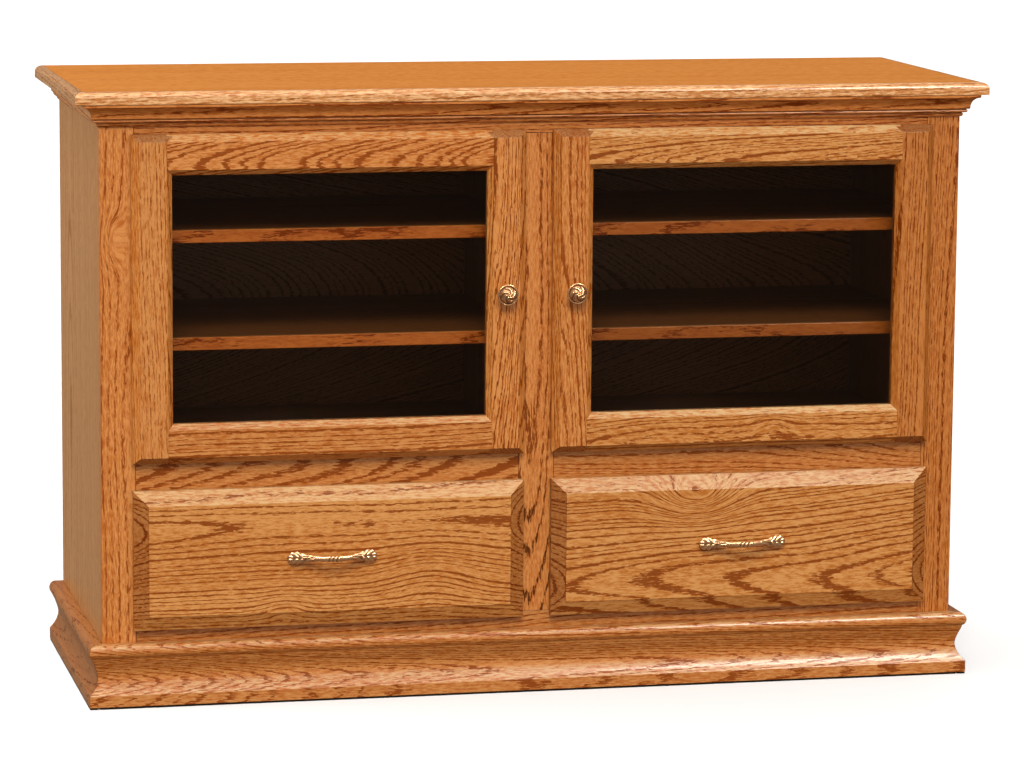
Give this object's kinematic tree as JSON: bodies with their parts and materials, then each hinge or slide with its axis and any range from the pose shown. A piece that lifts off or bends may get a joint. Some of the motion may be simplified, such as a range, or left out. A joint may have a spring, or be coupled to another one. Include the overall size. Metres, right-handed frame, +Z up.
{
  "type": "tv console",
  "caption": "Oak media console with hinged tinted-glass doors over shelved bays, wide drawers below on side slides, moulded top and base, brass knobs and bow pulls.",
  "frame": {"origin": "centre of the bounding box on the floor", "axes": "+X to the viewer's right along the console's width, +Y from the doors to the back, +Z up"},
  "size_m": [1.397, 0.5404, 0.9198],
  "materials": {
    "oak": "honey stained solid oak, satin lacquer",
    "oak_top": "oak veneer board with solid edge, satin lacquer",
    "oak_panel": "oak-veneered panel, satin lacquer",
    "plywood": "plain plywood, sealed",
    "drawer_wood": "pale hardwood, clear sealed",
    "tinted_glass": "dark bronze tinted sheet glass",
    "brass": "antique brass, rubbed high spots",
    "zinc_steel": "zinc plated rolled steel",
    "nickel": "nickel plated"
  },
  "bodies": {
    "carcase": {"top_panel": "oak_top", "cornice_front": "oak", "cornice_left": "oak", "cornice_right": "oak", "base_moulding_front": "oak", "base_moulding_left": "oak", "base_moulding_right": "oak", "side_panel_left": "oak_panel", "side_panel_right": "oak_panel", "center_partition": "oak_panel", "deck_panel": "oak_panel", "bottom_panel": "plywood", "back_panel": "plywood", "frame_stile_left": "oak", "frame_stile_right": "oak", "frame_stile_center": "oak", "frame_rail_top": "oak", "frame_rail_mid_left": "oak", "frame_rail_mid_right": "oak", "frame_rail_bottom": "oak", "shelf_left_lower": "oak", "shelf_left_upper": "oak", "shelf_right_lower": "oak", "shelf_right_upper": "oak", "left_hinge_arm_lower": "nickel", "left_hinge_arm_upper": "nickel", "right_hinge_arm_lower": "nickel", "right_hinge_arm_upper": "nickel", "left_slide_outer_left": "zinc_steel", "left_slide_outer_right": "zinc_steel", "right_slide_outer_left": "zinc_steel", "right_slide_outer_right": "zinc_steel"},
    "left_door": {"left_door_stile_hinge": "oak", "left_door_stile_knob": "oak", "left_door_rail_top": "oak", "left_door_rail_bottom": "oak", "left_door_glass": "tinted_glass", "left_door_knob": "brass", "left_hinge_cup_lower": "nickel", "left_hinge_cup_upper": "nickel"},
    "right_door": {"right_door_stile_hinge": "oak", "right_door_stile_knob": "oak", "right_door_rail_top": "oak", "right_door_rail_bottom": "oak", "right_door_glass": "tinted_glass", "right_door_knob": "brass", "right_hinge_cup_lower": "nickel", "right_hinge_cup_upper": "nickel"},
    "left_drawer": {"left_drawer_front": "oak", "left_drawer_box": "drawer_wood", "left_drawer_bottom": "plywood", "left_drawer_pull": "brass", "left_slide_inner_left": "zinc_steel", "left_slide_inner_right": "zinc_steel"},
    "right_drawer": {"right_drawer_front": "oak", "right_drawer_box": "drawer_wood", "right_drawer_bottom": "plywood", "right_drawer_pull": "brass", "right_slide_inner_left": "zinc_steel", "right_slide_inner_right": "zinc_steel"}
  },
  "joints": [
    {"name": "left_door_hinge", "type": "hinge", "parent": "carcase", "child": "left_door", "pos_m": [-0.6091, -0.22985, 0.61105], "axis": [0, 0, -1], "range_deg": [0, 105]},
    {"name": "right_door_hinge", "type": "hinge", "parent": "carcase", "child": "right_door", "pos_m": [0.6091, -0.22985, 0.61105], "axis": [0, 0, 1], "range_deg": [0, 105]},
    {"name": "left_drawer_slide", "type": "slide", "parent": "carcase", "child": "left_drawer", "axis": [0, -1, 0], "range_m": [0, 0.34]},
    {"name": "right_drawer_slide", "type": "slide", "parent": "carcase", "child": "right_drawer", "axis": [0, -1, 0], "range_m": [0, 0.34]}
  ]
}
